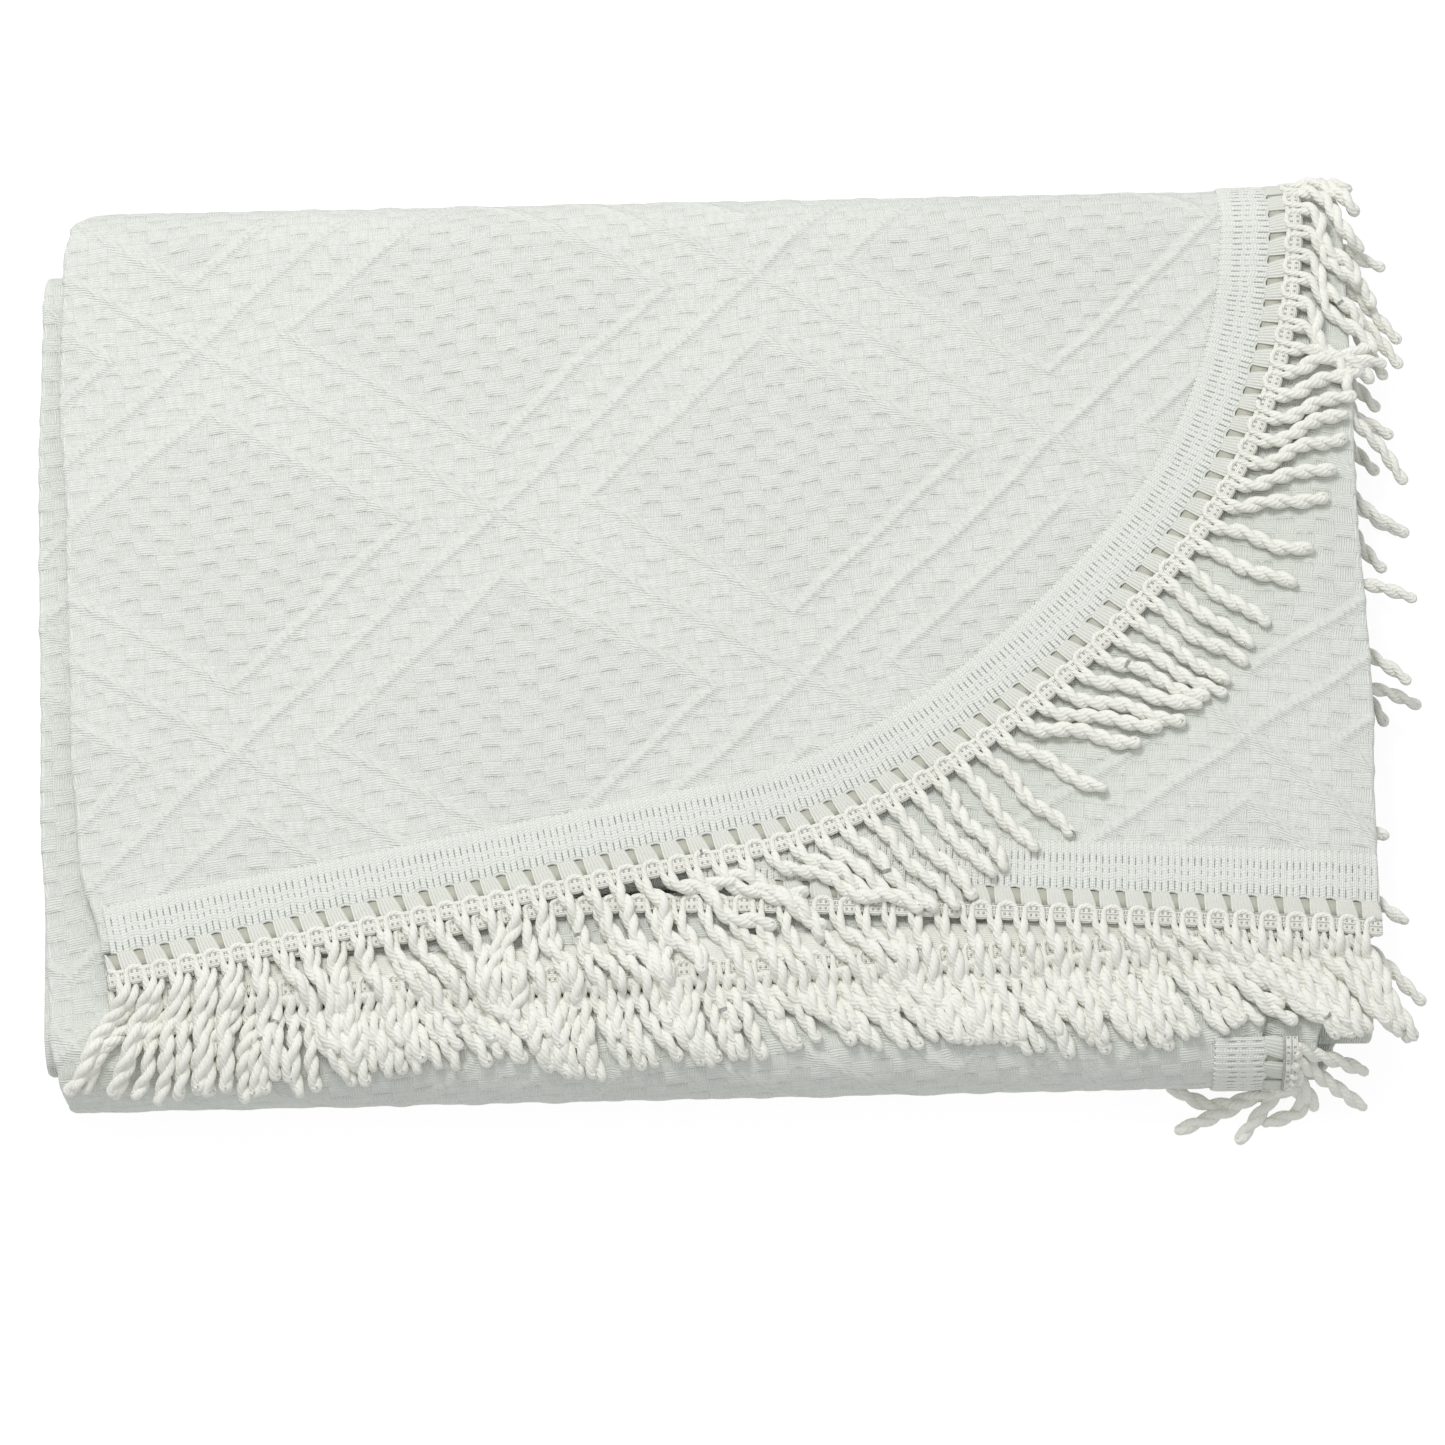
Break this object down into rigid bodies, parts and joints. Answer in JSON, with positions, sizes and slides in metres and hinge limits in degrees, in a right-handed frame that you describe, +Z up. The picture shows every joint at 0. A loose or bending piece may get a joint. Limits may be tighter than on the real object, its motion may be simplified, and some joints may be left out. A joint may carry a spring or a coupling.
{
  "type": "bedspread",
  "caption": "Folded cotton bedspread lying flat as a low rectangular stack, with a rounded foot corner on top edged by a heading tape and a twisted bullion fringe.",
  "frame": {"origin": "centre of the outline's bounding box, on the surface that the bedspread lies on", "axes": "+X along the longer side, from the folded side to the fringed side. +Y from the fringed foot edge to the wrapped back edge. +Z up, out of the top face."},
  "size_m": [0.6356, 0.4636, 0.0657],
  "materials": {
    "cloth_white": "matt woven cotton with raised diamonds",
    "tape_white": "matt knitted cotton tape",
    "cord_white": "matt twisted cotton cord"
  },
  "bodies": {
    "root": {"bedspread_cloth": "cloth_white", "heading_tape_corner": "tape_white", "heading_tape_foot": "tape_white", "heading_tape_front": "tape_white", "bullion_fringe_corner": "cord_white", "bullion_fringe_back": "cord_white", "bullion_fringe_foot": "cord_white", "bullion_fringe_foot_under": "cord_white", "bullion_fringe_front": "cord_white", "bullion_fringe_side_1": "cord_white", "bullion_fringe_side_2": "cord_white", "bullion_fringe_side_3": "cord_white", "bullion_fringe_side_4": "cord_white", "bullion_fringe_side_5": "cord_white"}
  },
  "joints": []
}
